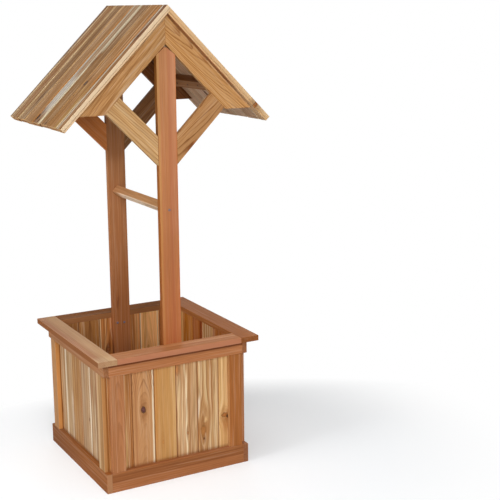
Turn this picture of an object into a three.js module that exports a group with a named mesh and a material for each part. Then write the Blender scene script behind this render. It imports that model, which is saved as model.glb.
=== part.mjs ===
// Wishing well planter: a square boarded box with a cap rail, two posts, a crossbar and a gabled roof.
// Millimetres. The origin is on the ground under the middle of the box, the front gable faces -Y, +Z is up.
import * as THREE from 'three';

// fits
const jointGap = 0.3; // between two boards that touch
const ridgeAngle = Math.PI / 4; // both slopes fall at 45 degrees, so the ridge is a square corner

// boarded walls
const wallBoardPitch = 76.2; // face width of one tongue and groove board
const wallBoardCount = 6; // boards across each wall
const wallCornerAllowance = 5.7; // extra width of the outermost board
const wallThickness = 19;
const wallGrooveDepth = 2.6; // V joint between two boards
const wallGrooveWidth = 5.6;

// trim of the box
const baseTrimHeight = 63.5;
const baseTrimThickness = 17.5;
const stileWidth = 44.5;
const stileThickness = 15.9;
const stileSetback = 4.3; // from the corner of the boarding to the edge of the stile
const friezeHeight = 44.5;
const friezeThickness = 15.9;
const capHeight = 443; // top of the cap rail above the ground
const capRailWidth = 63.5;
const capRailThickness = 17.5;

// floor of the planting box
const cleatHeight = 38;
const cleatThickness = 19;
const cleatClearance = 22; // from the ground to the underside of a cleat
const slatCount = 5;
const slatWidth = 76.2;
const slatThickness = 17.5;
const slatEdgeGap = 6; // drainage gap between the outer slats and the walls
const slatEndGap = 1.5;

// posts and crossbar
const postWidth = 63.5;
const postThickness = 17.5;
const postTipFlat = 7; // blunted tip of a post, under the meeting of the rafters
const crossbarSide = 27; // square bar, set on its corner
const crossbarRise = 433; // from the top of the cap rail to the middle of the bar

// gable frames
const rafterWidth = 63.5;
const rafterThickness = 17.5;
const rafterTailInset = 55; // measured level, from an eave to the outer corner of a rafter's level cut
const braceWidth = 63.5;
const braceThickness = 17.5;
const braceHeadInset = 5; // measured level, from the inner corner of that cut to the head of a brace

// roof
const ridgeHeight = 1492;
const roofHalfSpan = 347.5; // from the ridge to an eave, measured level
const roofThickness = 17.5;
const roofGrooveDepth = 2.4; // V joint between two roof boards
const roofGrooveHalfWidth = 2.6;
const tongueLength = 6;
const tongueThickness = 5.5;
const tongueClearance = 0.4;
const roofBoardWidths = [38, 80, 72, 58, 76, 66, 66, 18]; // face widths, front to back
const purlinWidth = 38;
const purlinThickness = 24;
const purlinOffset = 285; // down the slope, from the meeting of the undersides to the purlin

// places that follow from the sizes
const sine = Math.sin(ridgeAngle);
const cosine = Math.cos(ridgeAngle);
const tangent = Math.tan(ridgeAngle);
const wallHalf = wallBoardPitch * wallBoardCount / 2 + wallCornerAllowance;
const wallInner = wallHalf - wallThickness;
const capUnderside = capHeight - capRailThickness;
const wallTop = capUnderside - jointGap;
const friezeBottom = wallTop - friezeHeight;
const trimFace = wallHalf + jointGap;
const floorTop = cleatClearance + cleatHeight + jointGap + slatThickness;
const postOuter = wallInner - jointGap;
const postInner = postOuter - postThickness;
const roofDepth = roofBoardWidths.reduce((sum, width) => sum + width, 0);
const undersideApex = ridgeHeight - roofThickness / cosine;
const rafterTopApex = undersideApex - jointGap / cosine;
const rafterFootApex = rafterTopApex - rafterWidth / cosine;
const tailOuterX = roofHalfSpan - rafterTailInset;
const tailHeight = rafterTopApex - tailOuterX * tangent;
const tailInnerX = (rafterFootApex - tailHeight) / tangent;

const shades = {
  wall: 0xbf925f,
  trim: 0xa96f45,
  stile: 0xac7048,
  cap: 0xb0744f,
  post: 0xb9754c,
  gable: 0xc1915a,
  roof: 0xa37c56,
  bar: 0xba8a5a,
  inside: 0x9d7750,
};
const woodRoughness = 0.72;

const well = new THREE.Group();
well.name = 'wishingWellPlanter';

function addPiece(name, geometry, shade) {
  const material = new THREE.MeshStandardMaterial({ color: shade, roughness: woodRoughness, metalness: 0 });
  const piece = new THREE.Mesh(geometry, material);
  piece.name = name;
  well.add(piece);
  return piece;
}

function block(name, low, high, shade) {
  const size = new THREE.Vector3().subVectors(high, low);
  const piece = addPiece(name, new THREE.BoxGeometry(size.x, size.y, size.z), shade);
  piece.position.addVectors(low, high).multiplyScalar(0.5);
  return piece;
}

function shapeOf(points) {
  return new THREE.Shape(points.map(([x, y]) => new THREE.Vector2(x, y)));
}

// A flat board whose outline is drawn as seen from the front and whose thickness runs along Y.
function frontPlate(name, outline, nearY, thickness, shade) {
  const geometry = new THREE.ExtrudeGeometry(shapeOf(outline), { depth: thickness, bevelEnabled: false });
  geometry.rotateX(Math.PI / 2);
  const piece = addPiece(name, geometry, shade);
  piece.position.y = nearY + thickness;
  return piece;
}

function mirrored(outline) {
  return outline.map(([x, z]) => [-x, z]);
}

// Plan of a boarded wall with a V joint on both faces at every seam, and its outer face along +Y.
function wallPlan(halfWidth) {
  const outerFace = [];
  const innerFace = [];
  for (let seam = 1; seam < wallBoardCount; seam += 1) {
    const x = (seam - wallBoardCount / 2) * wallBoardPitch;
    const left = x - wallGrooveWidth / 2;
    const right = x + wallGrooveWidth / 2;
    outerFace.push([left, wallHalf], [x, wallHalf - wallGrooveDepth], [right, wallHalf]);
    innerFace.push([left, wallInner], [x, wallInner + wallGrooveDepth], [right, wallInner]);
  }
  return [
    [-halfWidth, wallInner],
    ...innerFace,
    [halfWidth, wallInner],
    [halfWidth, wallHalf],
    ...outerFace.reverse(),
    [-halfWidth, wallHalf],
  ];
}

function boardedWall(name, halfWidth, turn) {
  const geometry = new THREE.ExtrudeGeometry(shapeOf(wallPlan(halfWidth)), { depth: wallTop, bevelEnabled: false });
  const wall = addPiece(name, geometry, shades.wall);
  wall.rotation.z = turn;
}

function boardedWalls() {
  boardedWall('backWall', wallHalf, 0);
  boardedWall('leftWall', wallInner - jointGap, Math.PI / 2);
  boardedWall('frontWall', wallHalf, Math.PI);
  boardedWall('rightWall', wallInner - jointGap, -Math.PI / 2);
}

// A square ring of four boards: the side ones run the full depth, the other two butt between them.
function ring(suffix, inner, breadth, bottom, top, shade) {
  const outer = inner + breadth;
  const butt = inner - jointGap;
  for (const [word, side] of [['left', -1], ['right', 1]]) {
    const near = Math.min(side * inner, side * outer);
    const low = new THREE.Vector3(near, -outer, bottom);
    block(word + suffix, low, new THREE.Vector3(near + breadth, outer, top), shade);
  }
  for (const [word, side] of [['front', -1], ['back', 1]]) {
    const near = Math.min(side * inner, side * outer);
    const low = new THREE.Vector3(-butt, near, bottom);
    block(word + suffix, low, new THREE.Vector3(butt, near + breadth, top), shade);
  }
}

// Two stiles on the outside of every wall, standing on the base trim and ending under the frieze.
function cornerStiles() {
  const edge = wallHalf - stileSetback;
  const bottom = baseTrimHeight + jointGap;
  const top = friezeBottom - jointGap;
  const walls = [['front', -Math.PI / 2], ['right', 0], ['back', Math.PI / 2], ['left', Math.PI]];
  const geometry = new THREE.BoxGeometry(stileThickness, stileWidth, top - bottom);
  for (const [word, turn] of walls) {
    for (const [end, side] of [['StileA', -1], ['StileB', 1]]) {
      const stile = addPiece(word + end, geometry.clone(), shades.stile);
      const place = new THREE.Vector3(trimFace + stileThickness / 2, side * (edge - stileWidth / 2), 0);
      place.applyAxisAngle(new THREE.Vector3(0, 0, 1), turn);
      stile.position.set(place.x, place.y, (bottom + top) / 2);
      stile.rotation.z = turn;
    }
  }
}

function floorCleats() {
  const top = cleatClearance + cleatHeight;
  const outer = wallInner - jointGap;
  const reach = wallInner - jointGap;
  const inner = outer - cleatThickness;
  const rightLow = new THREE.Vector3(inner, -reach, cleatClearance);
  block('rightFloorCleat', rightLow, new THREE.Vector3(outer, reach, top), shades.inside);
  const leftLow = new THREE.Vector3(-outer, -reach, cleatClearance);
  block('leftFloorCleat', leftLow, new THREE.Vector3(-inner, reach, top), shades.inside);
}

function floorSlats() {
  const bottom = cleatClearance + cleatHeight + jointGap;
  const reach = wallInner - slatEndGap;
  const first = -(wallInner - slatEdgeGap);
  const step = (-2 * first - slatWidth) / (slatCount - 1);
  for (let index = 0; index < slatCount; index += 1) {
    const near = first + index * step;
    const low = new THREE.Vector3(-reach, near, bottom);
    const high = new THREE.Vector3(reach, near + slatWidth, bottom + slatThickness);
    block('floorSlat' + (index + 1), low, high, shades.inside);
  }
}

// Height of a line that falls from the apex at the roof pitch.
function slopeHeight(apex, x) {
  return apex - Math.abs(x) * tangent;
}

function posts() {
  const bottom = floorTop + jointGap;
  const apex = rafterFootApex - jointGap / cosine;
  const half = postWidth / 2;
  const tip = postTipFlat / 2;
  const outline = [
    [-half, bottom],
    [half, bottom],
    [half, slopeHeight(apex, half)],
    [tip, slopeHeight(apex, tip)],
    [-tip, slopeHeight(apex, tip)],
    [-half, slopeHeight(apex, half)],
  ];
  frontPlate('frontPost', outline, -postOuter, postThickness, shades.post);
  frontPlate('backPost', outline, postInner, postThickness, shades.post);
}

function crossbar() {
  const length = 2 * (postInner - jointGap);
  const bar = addPiece('crossbar', new THREE.BoxGeometry(crossbarSide, length, crossbarSide), shades.bar);
  bar.position.z = capHeight + crossbarRise;
  bar.rotation.y = Math.PI / 4;
}

// Rafters meet on a plumb mitre and end in a level cut.
function rafterOutline() {
  const mitre = jointGap / 2;
  return [
    [mitre, slopeHeight(rafterFootApex, mitre)],
    [tailInnerX, tailHeight],
    [tailOuterX, tailHeight],
    [mitre, slopeHeight(rafterTopApex, mitre)],
  ];
}

// Braces run square to the rafters, from the underside of a rafter down to the side of a post.
function braceOutline() {
  const heel = postWidth / 2 + jointGap;
  const apex = rafterFootApex - jointGap / cosine;
  const lowerX = tailInnerX - braceHeadInset;
  const upperX = lowerX - braceWidth * cosine;
  const footHeight = (headX) => slopeHeight(apex, headX) - (headX - heel) / tangent;
  return [
    [heel, footHeight(lowerX)],
    [lowerX, slopeHeight(apex, lowerX)],
    [upperX, slopeHeight(apex, upperX)],
    [heel, footHeight(upperX)],
  ];
}

function gableFrame(word, outerFace) {
  const sign = Math.sign(outerFace);
  const nearY = (thickness) => (sign < 0 ? outerFace : outerFace - thickness);
  for (const [hand, turn] of [['Left', mirrored], ['Right', (outline) => outline]]) {
    const rafterY = nearY(rafterThickness);
    frontPlate(word + hand + 'Rafter', turn(rafterOutline()), rafterY, rafterThickness, shades.gable);
    const braceY = nearY(braceThickness);
    frontPlate(word + hand + 'Brace', turn(braceOutline()), braceY, braceThickness, shades.gable);
  }
}

// Battens that tie the roof boards together half way down each slope, between the two gable frames.
function purlins() {
  const inner = postOuter - rafterThickness - jointGap;
  const onSlope = (along, deep) => [
    along * cosine - deep * sine,
    undersideApex - along * sine - deep * cosine,
  ];
  const near = jointGap;
  const far = jointGap + purlinThickness;
  const outline = [
    onSlope(purlinOffset, near),
    onSlope(purlinOffset, far),
    onSlope(purlinOffset + purlinWidth, far),
    onSlope(purlinOffset + purlinWidth, near),
  ];
  frontPlate('rightPurlin', outline, -inner, 2 * inner, shades.inside);
  frontPlate('leftPurlin', mirrored(outline), -inner, 2 * inner, shades.inside);
}

// Section of one roof board: x runs from front to back, y from the underside to the weather face.
// The back edge carries the tongue and the front edge the groove, except at the two verges.
function roofBoardSection(width, hasGroove, hasTongue) {
  const front = jointGap / 2;
  const back = width - jointGap / 2;
  const middle = roofThickness / 2;
  const points = [];
  if (hasGroove) {
    const slot = tongueThickness / 2 + tongueClearance;
    const floor = front + tongueLength + tongueClearance;
    points.push(
      [front + roofGrooveHalfWidth, roofThickness],
      [front, roofThickness - roofGrooveDepth],
      [front, middle + slot],
      [floor, middle + slot],
      [floor, middle - slot],
      [front, middle - slot],
      [front, roofGrooveDepth],
      [front + roofGrooveHalfWidth, 0],
    );
  } else {
    points.push([front, roofThickness], [front, 0]);
  }
  if (hasTongue) {
    const half = tongueThickness / 2;
    const nose = back + tongueLength;
    points.push(
      [back - roofGrooveHalfWidth, 0],
      [back, roofGrooveDepth],
      [back, middle - half],
      [nose, middle - half],
      [nose, middle + half],
      [back, middle + half],
      [back, roofThickness - roofGrooveDepth],
      [back - roofGrooveHalfWidth, roofThickness],
    );
  } else {
    points.push([back, 0], [back, roofThickness]);
  }
  return points;
}

// One slope of tongue and groove boards. The left slope laps over the upper ends of the right one.
function roofSlope(word, side, upperGap) {
  const length = roofHalfSpan / cosine - upperGap;
  const across = new THREE.Vector3(0, 1, 0);
  const outward = new THREE.Vector3(side * sine, 0, cosine);
  const along = new THREE.Vector3().crossVectors(across, outward);
  const lowest = new THREE.Vector3(side * roofHalfSpan, 0, ridgeHeight - roofHalfSpan * tangent);
  const highest = new THREE.Vector3(side * upperGap * cosine, 0, ridgeHeight - upperGap * sine);
  const start = side < 0 ? lowest : highest;
  let front = -roofDepth / 2;
  roofBoardWidths.forEach((width, index) => {
    const last = roofBoardWidths.length - 1;
    const section = shapeOf(roofBoardSection(width, index > 0, index < last));
    const geometry = new THREE.ExtrudeGeometry(section, { depth: length, bevelEnabled: false });
    geometry.translate(0, -roofThickness, 0);
    geometry.applyMatrix4(new THREE.Matrix4().makeBasis(across, outward, along));
    const board = addPiece(word + 'RoofBoard' + (index + 1), geometry, shades.roof);
    board.position.set(start.x, front, start.z);
    front += width;
  });
}

boardedWalls();
ring('BaseTrim', trimFace, baseTrimThickness, 0, baseTrimHeight, shades.trim);
cornerStiles();
ring('Frieze', trimFace, friezeThickness, friezeBottom, wallTop, shades.trim);
ring('CapRail', wallInner, capRailWidth, capUnderside, capHeight, shades.cap);
floorCleats();
floorSlats();
posts();
crossbar();
gableFrame('front', -postOuter);
gableFrame('back', postOuter);
purlins();
roofSlope('left', -1, 0);
roofSlope('right', 1, roofThickness + jointGap);

export default well;
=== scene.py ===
# The looks of the wishing well planter, board by board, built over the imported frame.
import math

import bpy
import numpy as np
from mathutils import Matrix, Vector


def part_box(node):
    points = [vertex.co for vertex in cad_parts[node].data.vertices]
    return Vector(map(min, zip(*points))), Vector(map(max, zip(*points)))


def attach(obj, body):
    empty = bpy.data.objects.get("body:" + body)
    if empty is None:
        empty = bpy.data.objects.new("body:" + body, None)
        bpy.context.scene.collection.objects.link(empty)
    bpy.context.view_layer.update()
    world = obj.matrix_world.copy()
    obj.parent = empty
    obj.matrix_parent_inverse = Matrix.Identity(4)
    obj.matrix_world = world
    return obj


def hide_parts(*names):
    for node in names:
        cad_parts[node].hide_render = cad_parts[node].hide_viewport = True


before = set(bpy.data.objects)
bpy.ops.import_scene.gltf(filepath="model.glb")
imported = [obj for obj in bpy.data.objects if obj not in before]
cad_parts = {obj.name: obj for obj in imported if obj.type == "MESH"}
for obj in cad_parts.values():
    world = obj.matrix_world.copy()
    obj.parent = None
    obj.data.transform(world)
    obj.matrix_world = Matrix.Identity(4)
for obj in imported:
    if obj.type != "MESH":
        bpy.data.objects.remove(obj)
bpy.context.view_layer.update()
scene = bpy.context.scene
print("frame:", len(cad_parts), "nodes")

# Sizes in this file are millimetres, as on the drawing; meshes are written in metres.
stock = {
    "width": 63.5,  # planed width of the trim and framing boards
    "fit": 0.3,  # play between two boards
    "easeShare": 0.4,  # an ease takes up no more than this share of the edges beside it
    "endCosine": 0.6,  # a face is a cut end where the cosine of its normal to the grain is larger than this
}


# Low and high corner of a node's box in the CAD frame, in mm.
def boxOf(node):
    low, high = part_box(node)
    return np.array(low) * 1000, np.array(high) * 1000


# Corners of a rectangle about its own middle: half the width and half the height on either side.
def rectangle(width, height):
    x, y = width / 2, height / 2
    return [(-x, -y), (x, -y), (x, y), (-x, y)]


# Each corner of a closed outline is cut back along its two edges and filled with a quadratic curve.
# The wear over that curve, which also carries a painted highlight, is half a sine wave: 0 where it leaves
# each edge and 1 in the middle.
def easedOutline(corners, eases, shade, steps=2):
    corners = np.asarray(corners, float)
    eases = np.broadcast_to(np.asarray(eases, float), len(corners))
    shade = np.broadcast_to(np.asarray(shade, float), len(corners))
    ahead = np.roll(corners, -1, 0)
    if (corners[:, 0] * ahead[:, 1] - ahead[:, 0] * corners[:, 1]).sum() < 0:
        corners, eases, shade = corners[::-1], eases[::-1], shade[::-1]
    back = np.roll(corners, 1, 0) - corners
    fore = np.roll(corners, -1, 0) - corners
    backLength = np.linalg.norm(back, axis=1, keepdims=True)
    foreLength = np.linalg.norm(fore, axis=1, keepdims=True)
    cut = np.minimum(eases[:, None], stock["easeShare"] * np.minimum(backLength, foreLength))
    first = (corners + back / backLength * cut)[:, None]
    last = (corners + fore / foreLength * cut)[:, None]
    t = np.linspace(0, 1, steps + 1)[None, :, None]
    curve = (1 - t) ** 2 * first + 2 * t * (1 - t) * corners[:, None] + t ** 2 * last
    wornAndLit = np.broadcast_to(np.sin(np.pi * t[..., 0]), curve.shape[:2])
    return curve.reshape(-1, 2), wornAndLit.ravel(), np.repeat(shade, steps + 1)


# The shift of every outline point when each edge moves inwards by one: the sum of the two edges' inward
# normals over one plus their product.
def insetShift(outline):
    along = np.roll(outline, -1, 0) - outline
    along = along / np.linalg.norm(along, axis=1, keepdims=True)
    inward = np.stack([-along[:, 1], along[:, 0]], 1)
    before = np.roll(inward, 1, 0)
    return (inward + before) / (1 + (inward * before).sum(1, keepdims=True))


# Four-sided faces between rings of points that are numbered ring by ring, and the numbers themselves.
def ringFaces(rings, sides):
    index = np.arange(rings * sides).reshape(rings, sides)
    after = np.roll(index, -1, 1)
    return index, np.stack([index[:-1], after[:-1], after[1:], index[1:]], -1).reshape(-1, 4)


# A board: an outline carried along a straight path, drawn in over a quarter circle at both ends, so that it
# has three rings of points at each end and the middle one of each three is worn, with a painted highlight.
# place is (origin, first axis, second axis, path direction); wood is (origin, along, across, outward).
def carriedBoard(name, corners, length, place, wood, material, replaced=(), eases=0.8, endEase=0.5,
                 shade=0.0):
    outline, wornAndLit, dark = easedOutline(corners, eases, shade)
    turn = np.linspace(0, np.pi / 2, 3)
    inset = endEase * (1 - np.sin(turn))
    stand = endEase * (1 - np.cos(turn))
    insets = np.concatenate([inset, inset[::-1]])
    stations = np.concatenate([stand, length - stand[::-1]])
    flat = outline[None] + insetShift(outline)[None] * insets[:, None, None]
    origin, firstAxis, secondAxis, path = [np.asarray(axis, float) for axis in place]
    points = origin + flat[..., :1] * firstAxis + flat[..., 1:] * secondAxis + stations[:, None, None] * path
    rings, count = flat.shape[:2]
    index, sides = ringFaces(rings, count)
    ends = [index[0, ::-1].tolist(), index[-1].tolist()]
    if np.dot(np.cross(firstAxis, secondAxis), path) < 0:
        sides = sides[:, ::-1]
        ends = [end[::-1] for end in ends]
    ringWearLight = np.array([0, 1, 0, 0, 1, 0.0])[:, None]
    sideWearLight = np.array([0, 0, 1, 1, 0, 0.0])[:, None] * wornAndLit[None]
    wearAndLight = np.maximum(np.broadcast_to(ringWearLight, (rings, count)), sideWearLight)
    shadeRings = np.broadcast_to(dark, (rings, count))
    return boardPiece(
        name, points.reshape(-1, 3), sides.tolist() + ends, wood, wearAndLight, shadeRings, material, replaced)


# The mesh and object of a board. Every point also gets its place in the wood, which is its offset from the
# wood's origin measured on the three wood axes, and a face is a cut end where its normal follows the grain.
def boardPiece(name, points, faces, wood, wearAndLight, dark, material, replaced):
    mesh = bpy.data.meshes.new(name)
    mesh.from_pydata((points / 1000).tolist(), [], faces)
    origin = np.asarray(wood[0], float)
    axes = np.stack([np.asarray(axis, float) for axis in wood[1:]], 1)
    mesh.materials.append(material)
    mesh.update()
    normals = np.zeros(len(mesh.polygons) * 3, np.float32)
    mesh.polygons.foreach_get("normal", normals)
    cutEnds = np.abs(normals.reshape(-1, 3) @ axes[:, 0]) > stock["endCosine"]
    for word, kind, domain, field, values in (
        ("grain", "FLOAT_VECTOR", "POINT", "vector", (points - origin) @ axes),
        ("wornAndLit", "FLOAT", "POINT", "value", wearAndLight),
        ("groove", "FLOAT", "POINT", "value", dark),
        ("cutEnd", "FLOAT", "FACE", "value", cutEnds),
    ):
        layer = mesh.attributes.new(word, kind, domain)
        layer.data.foreach_set(field, np.asarray(values, np.float32).ravel())
    return addPiece(name, mesh, replaced)


# The object of a finished mesh, on the one body of the part.
def addPiece(name, mesh, replaced=()):
    piece = bpy.data.objects.new(name, mesh)
    scene.collection.objects.link(piece)
    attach(piece, "root")
    if replaced:
        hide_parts(*replaced)
    return piece


sectionCuts = {
    "face": 0.9, "shoulder": 0.7, "seam": 0.2, "root": 0.3, "nose": 0.6,  # ease of each kind of corner
    "play": 0.4,  # room round the tongue in its groove
    "gap": 0.5,  # seam between two boards
    "score": (5.0, 5.9, 6.8, 1.1),  # low, floor, high and depth of the line scored in an edge
}


# Rows of half an edge, then the same rows back again on the other side of the middle of the thickness.
def throughThickness(thickness, rows):
    return rows + [(place, thickness - height, *rest) for place, height, *rest in reversed(rows)]


# Section of a matched board, from its groove edge to its tongue edge and from the back face to the front.
# A row is (place over the width, place over the thickness, kind of corner, darkness of the seam there, laid
# on as painted shade).
def matchedSection(width, joint, hasGroove, hasTongue, outerGap=0.0, scored=False):
    thickness, vDepth, vHalf = joint["thickness"], joint["vDepth"], joint["vHalf"]
    tongueReach, half = joint["tongue"][0], joint["tongue"][1] / 2
    middle = thickness / 2
    near = sectionCuts["gap"] / 2 if hasGroove else outerGap
    far = width - (sectionCuts["gap"] / 2 if hasTongue else outerGap)
    rows = []
    if hasGroove:
        slotHalf = half + sectionCuts["play"]
        floor = near + tongueReach + sectionCuts["play"]
        rows += throughThickness(thickness, [
            (near + vHalf, thickness, "shoulder", 0), (near, thickness - vDepth, "seam", 1),
            (near, middle + slotHalf, "root", 1), (floor, middle + slotHalf, "root", 1)])
    else:
        rows.append((near, thickness, "face", 0))
        if scored:
            low, deep, high, depth = sectionCuts["score"]
            rows += [(near, high, "root", 0), (near + depth, deep, "seam", 0.5), (near, low, "root", 0)]
        rows.append((near, 0, "face", 0))
    if hasTongue:
        tip = far + tongueReach - sectionCuts["play"]
        rows += throughThickness(thickness, [
            (far - vHalf, 0, "shoulder", 0), (far, vDepth, "seam", 1),
            (far, middle - half, "root", 1), (tip, middle - half, "nose", 1)])
    else:
        rows += [(far, 0, "face", 0), (far, thickness, "face", 0)]
    return [row[:2] for row in rows], [sectionCuts[row[2]] for row in rows], [row[3] for row in rows]


# A written colour as the linear red, green and blue that a shader takes, by the sRGB curve.
def colour(text):
    parts = [int(text[place:place + 2], 16) / 255 for place in (1, 3, 5)]
    return [part / 12.92 if part <= 0.04045 else ((part + 0.055) / 1.055) ** 2.4 for part in parts] + [1.0]


# A paler relative of a wood colour, part of the way towards bleached straw.
def paler(text, share):
    return [a * (1 - share) + b * share for a, b in zip(colour(text), colour("#f2e2c4"))]


# Steps that keep the seeds of noises apart: of knots, bands and rings, of the second coordinate of a noise,
# and of the two lists of bands.
seedStep = {"knot": 3.1, "band": 7.7, "ring": 13.7, "second": 0.37, "bands": 20, "overBands": 60}
noiseSpread = (4.0, -2.0)  # factor and base that take a noise node's 0 to 1, mostly near 0.5, apart round 0


# Short ways to add nodes to the tree of a material or a world.
class NodeBench:
    def __init__(self, owner):
        owner.use_nodes = True
        self.owner = owner
        self.tree = owner.node_tree
        self.tree.nodes.clear()

    def put(self, kind, **settings):
        node = self.tree.nodes.new(kind)
        for key, value in settings.items():
            setattr(node, key, value)
        return node

    def feed(self, socket, value):
        if isinstance(value, bpy.types.NodeSocket):
            self.tree.links.new(value, socket)
        else:
            socket.default_value = value

    # a node of one output whose first inputs take the given values in their order
    def made(self, kind, *values, **settings):
        node = self.put(kind, **settings)
        for socket, value in zip(node.inputs, values):
            self.feed(socket, value)
        return node.outputs[0]

    def calc(self, operation, first, second=0.0, third=0.0, clamp=False):
        return self.made("ShaderNodeMath", first, second, third, operation=operation, use_clamp=clamp)

    def times(self, first, second, clamp=False):
        return self.calc("MULTIPLY", first, second, clamp=clamp)

    def plus(self, first, second, clamp=False):
        return self.calc("ADD", first, second, clamp=clamp)

    def less(self, first, second):
        return self.calc("SUBTRACT", first, second)

    # factor times value plus base
    def lift(self, value, factor, base):
        return self.calc("MULTIPLY_ADD", value, factor, base)

    # root of the sum of two squares
    def radius(self, first, second):
        return self.calc("SQRT", self.plus(self.times(first, first), self.times(second, second)))

    # smooth step of a value between two bounds, from start to stop
    def step(self, value, low, high, start=0.0, stop=1.0, kind="SMOOTHSTEP"):
        return self.made("ShaderNodeMapRange", value, low, high, start, stop, interpolation_type=kind)

    # 1 between low and high and 0 outside them, with a smooth step as wide as twice soft at each
    def window(self, value, low, high, soft):
        rise = self.step(value, low - soft, low + soft)
        return self.times(rise, self.step(value, high - soft, high + soft, 1.0, 0.0))

    # noise over three coordinates, with one cell of the given size on each of them, from about -1 to 1
    def noise(self, place, seed, size, detail, rough, extraSeed=0):
        x, y, z = place
        seed = seed + extraSeed
        spot = self.made(
            "ShaderNodeCombineXYZ", self.lift(x, 1 / size[0], seed),
            self.lift(y, 1 / size[1], seed * seedStep["second"]), self.times(z, 1 / size[2]))
        node = self.put("ShaderNodeTexNoise")
        for word, value in (("Vector", spot), ("Scale", 1.0), ("Detail", detail), ("Roughness", rough)):
            self.feed(node.inputs[word], value)
        return self.lift(node.outputs[0], *noiseSpread)

    def blend(self, share, first, second):
        node = self.put("ShaderNodeMix", data_type="RGBA", blend_type="MIX")
        for place, value in ((0, share), (6, first), (7, second)):
            self.feed(node.inputs[place], value)
        return node.outputs[2]

    def scaled(self, tint, factor):
        node = self.put("ShaderNodeVectorMath", operation="SCALE")
        self.feed(node.inputs[0], tint)
        self.feed(node.inputs["Scale"], factor)
        return node.outputs[0]

    def parts(self, vector):
        node = self.put("ShaderNodeSeparateXYZ")
        self.feed(node.inputs[0], vector)
        return node.outputs

    def attribute(self, word, output="Fac"):
        return self.put("ShaderNodeAttribute", attribute_name=word).outputs[output]

    def surface(self, shader, kind="ShaderNodeOutputMaterial"):
        self.feed(self.put(kind).inputs["Surface"], shader)
        return self.owner


cedarDefaults = {
    "tone": "#b98a5c",  # between the rings
    "late": "#80502a",  # dark side of a ring
    "figure": 0.4,  # strength of the rings
    "ringGap": 3.2,
    "pith": (0, -45),  # middle of the log: across and outward from the piece's own middle, mm
    "taper": 0.012,  # how fast the rings climb along the board
    "wave": 5.0,  # slow wander of the rings, mm
    "ripple": 0.7,  # quick wander of the rings, mm
    "edge": (0.25, 0.86),  # where a ring starts to darken and where it is darkest, as shares of its width
    "waver": 1.0,  # sideways wander of the whole grain, mm
    "streak": 0.2,  # light and dark streaks, 0 to 1
    "streakSize": (320, 7, 7),  # along, across and outward, mm
    "broad": 0.10,  # wide light and dark areas
    "fibre": 0.10,  # fine light and dark lines
    "bands": (),  # (across, half width, softness, wander, colour, strength[, from, to])
    "overBands": (),  # the same, laid over the rings and streaks
    "knots": (),  # (along, across, half length, half width, colour[, firmness])
    "span": (),  # (low, high) along the board where the rings are full; a quarter of that elsewhere
    "drift": (),  # (low, high, multiplier at the low end, multiplier at the high end)
    "seatShade": (),  # (along, reach, strength): painted shade beside a place where other wood covers the board
    "rim": (),  # (across, outward, colour, strength): tint of a sawn front edge below the given depth; on the left stiles it is a painted shadow line where the side face meets the wall
    "seamShade": 0.6,
    "seamShadeTone": "#7a3c14",  # dark of the seams, partly their own and partly painted shade, and painted shade beside the seats
    "barkTone": "#42230f",  # line round a knot
    "endShare": 0.5,
    "endTone": "",  # colour of the cut ends; worked out from the ring colour when empty
    "sheen": 0.7,  # roughness of the planed face
    "gloss": 0.14,  # specular level
    "bump": (0.35, 0.0004),  # strength, and depth in metres
}


# Noises in the wood: (cell along, across and outward in mm), detail, roughness, and what the seed gains.
grainNoise = {
    "stir": ((140, 30, 30), 2, 0.5, 91),
    "slow": ((380, 60, 60), 1.5, 0.5, 0),
    "quick": ((70, 14, 14), 2, 0.5, 5),
    "patchy": ((150, 30, 30), 2, 0.5, 9),
    "bandDrift": ((170, 30, 30), 2, 0.5, 0),
    "hair": ((200, 3, 3), 2, 0.6, 67),
    "broad": ((500, 45, 45), 1.5, 0.5, 43),
    "fibre": ((45, 0.9, 0.9), 2, 0.5, 57),
    "sawn": ((4, 1.3, 1.3), 2, 0.6, 71),
}
# Knots, measured in radii of the knot itself. A fade is (from, to, value before it, value after it).
knotShape = {
    "cell": (0.8, 30, 3, 0.6),  # noise: share of the knot, depth of a cell in mm, detail, roughness
    "ragged": 0.34,  # how far that noise breaks the outline
    "glowRagged": 0.35,  # and how far it breaks the glow
    "slim": 0.42,  # how much a step along the board counts in the long ellipse of bent grain
    "push": (0.3, 3.6, 0.9, 0.0),  # fade of the push aside
    "glow": (0.6, 2.2, 0.5, 0.0),  # fade of the dark grain round the knot
    "heart": (0.62, 1.08),  # where the heart gives way to the grain
    "heartLevel": (0.0, 1.0, 1.5, 0.75),  # fade of the heart's lightness
    "turns": (17.0, 0.16),  # how close the turns in the heart lie, and how strong they are
    "bark": (0.68, 0.9, 0.92, 1.16),  # where the bark line starts, is full, still is full, and ends
    "barkFirm": (1.26, -0.56),  # its strength on a knot's firmness: factor and base
}
# How strongly the parts of the wood work together.
woodMix = {
    "ringFall": 0.88,  # where the dark of a ring falls back, as a share of the ring's width
    "ringChance": (0.75, 0.35),  # strength of a ring: factor of its own chance value, and base
    "patches": 0.3,  # change of the rings' strength along the board
    "bandEnd": 25,  # softness at the ends of a band, mm
    "spanEnd": 30,  # softness at the ends of a span, mm
    "spanRest": 0.25,  # strength of the rings outside a span
    "knotFigure": 0.9,  # strength that the rings gain in the glow of a knot
    "streakNoise": (3, 0.6, 31),  # detail, roughness, and what the seed gains
    "hair": 0.7,  # part that hairlines play in the streaks
    "streakReach": 0.8,  # noise at which a streak is full
    "pale": 0.42,  # way of a light streak towards straw
    "rimSoft": (0.3, 0.8),  # softness of a rim across and outward, mm
    "seatShadeDepth": (3, 7),  # where the painted shade of a seat starts and is full, outward from the board's middle, mm
    "sawn": 0.12,  # change of lightness over a cut end
    "endLevel": 1.22,  # lightness of a cut end without a tone of its own
    "wornAndLit": 0.16,  # lightness that a worn edge gains: wear together with a painted highlight
    "dull": (0.04, -0.08),  # roughness that the fibres and the late wood add
    "relief": (0.35, 0.5),  # height that the fibres and the late wood add
}
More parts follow.
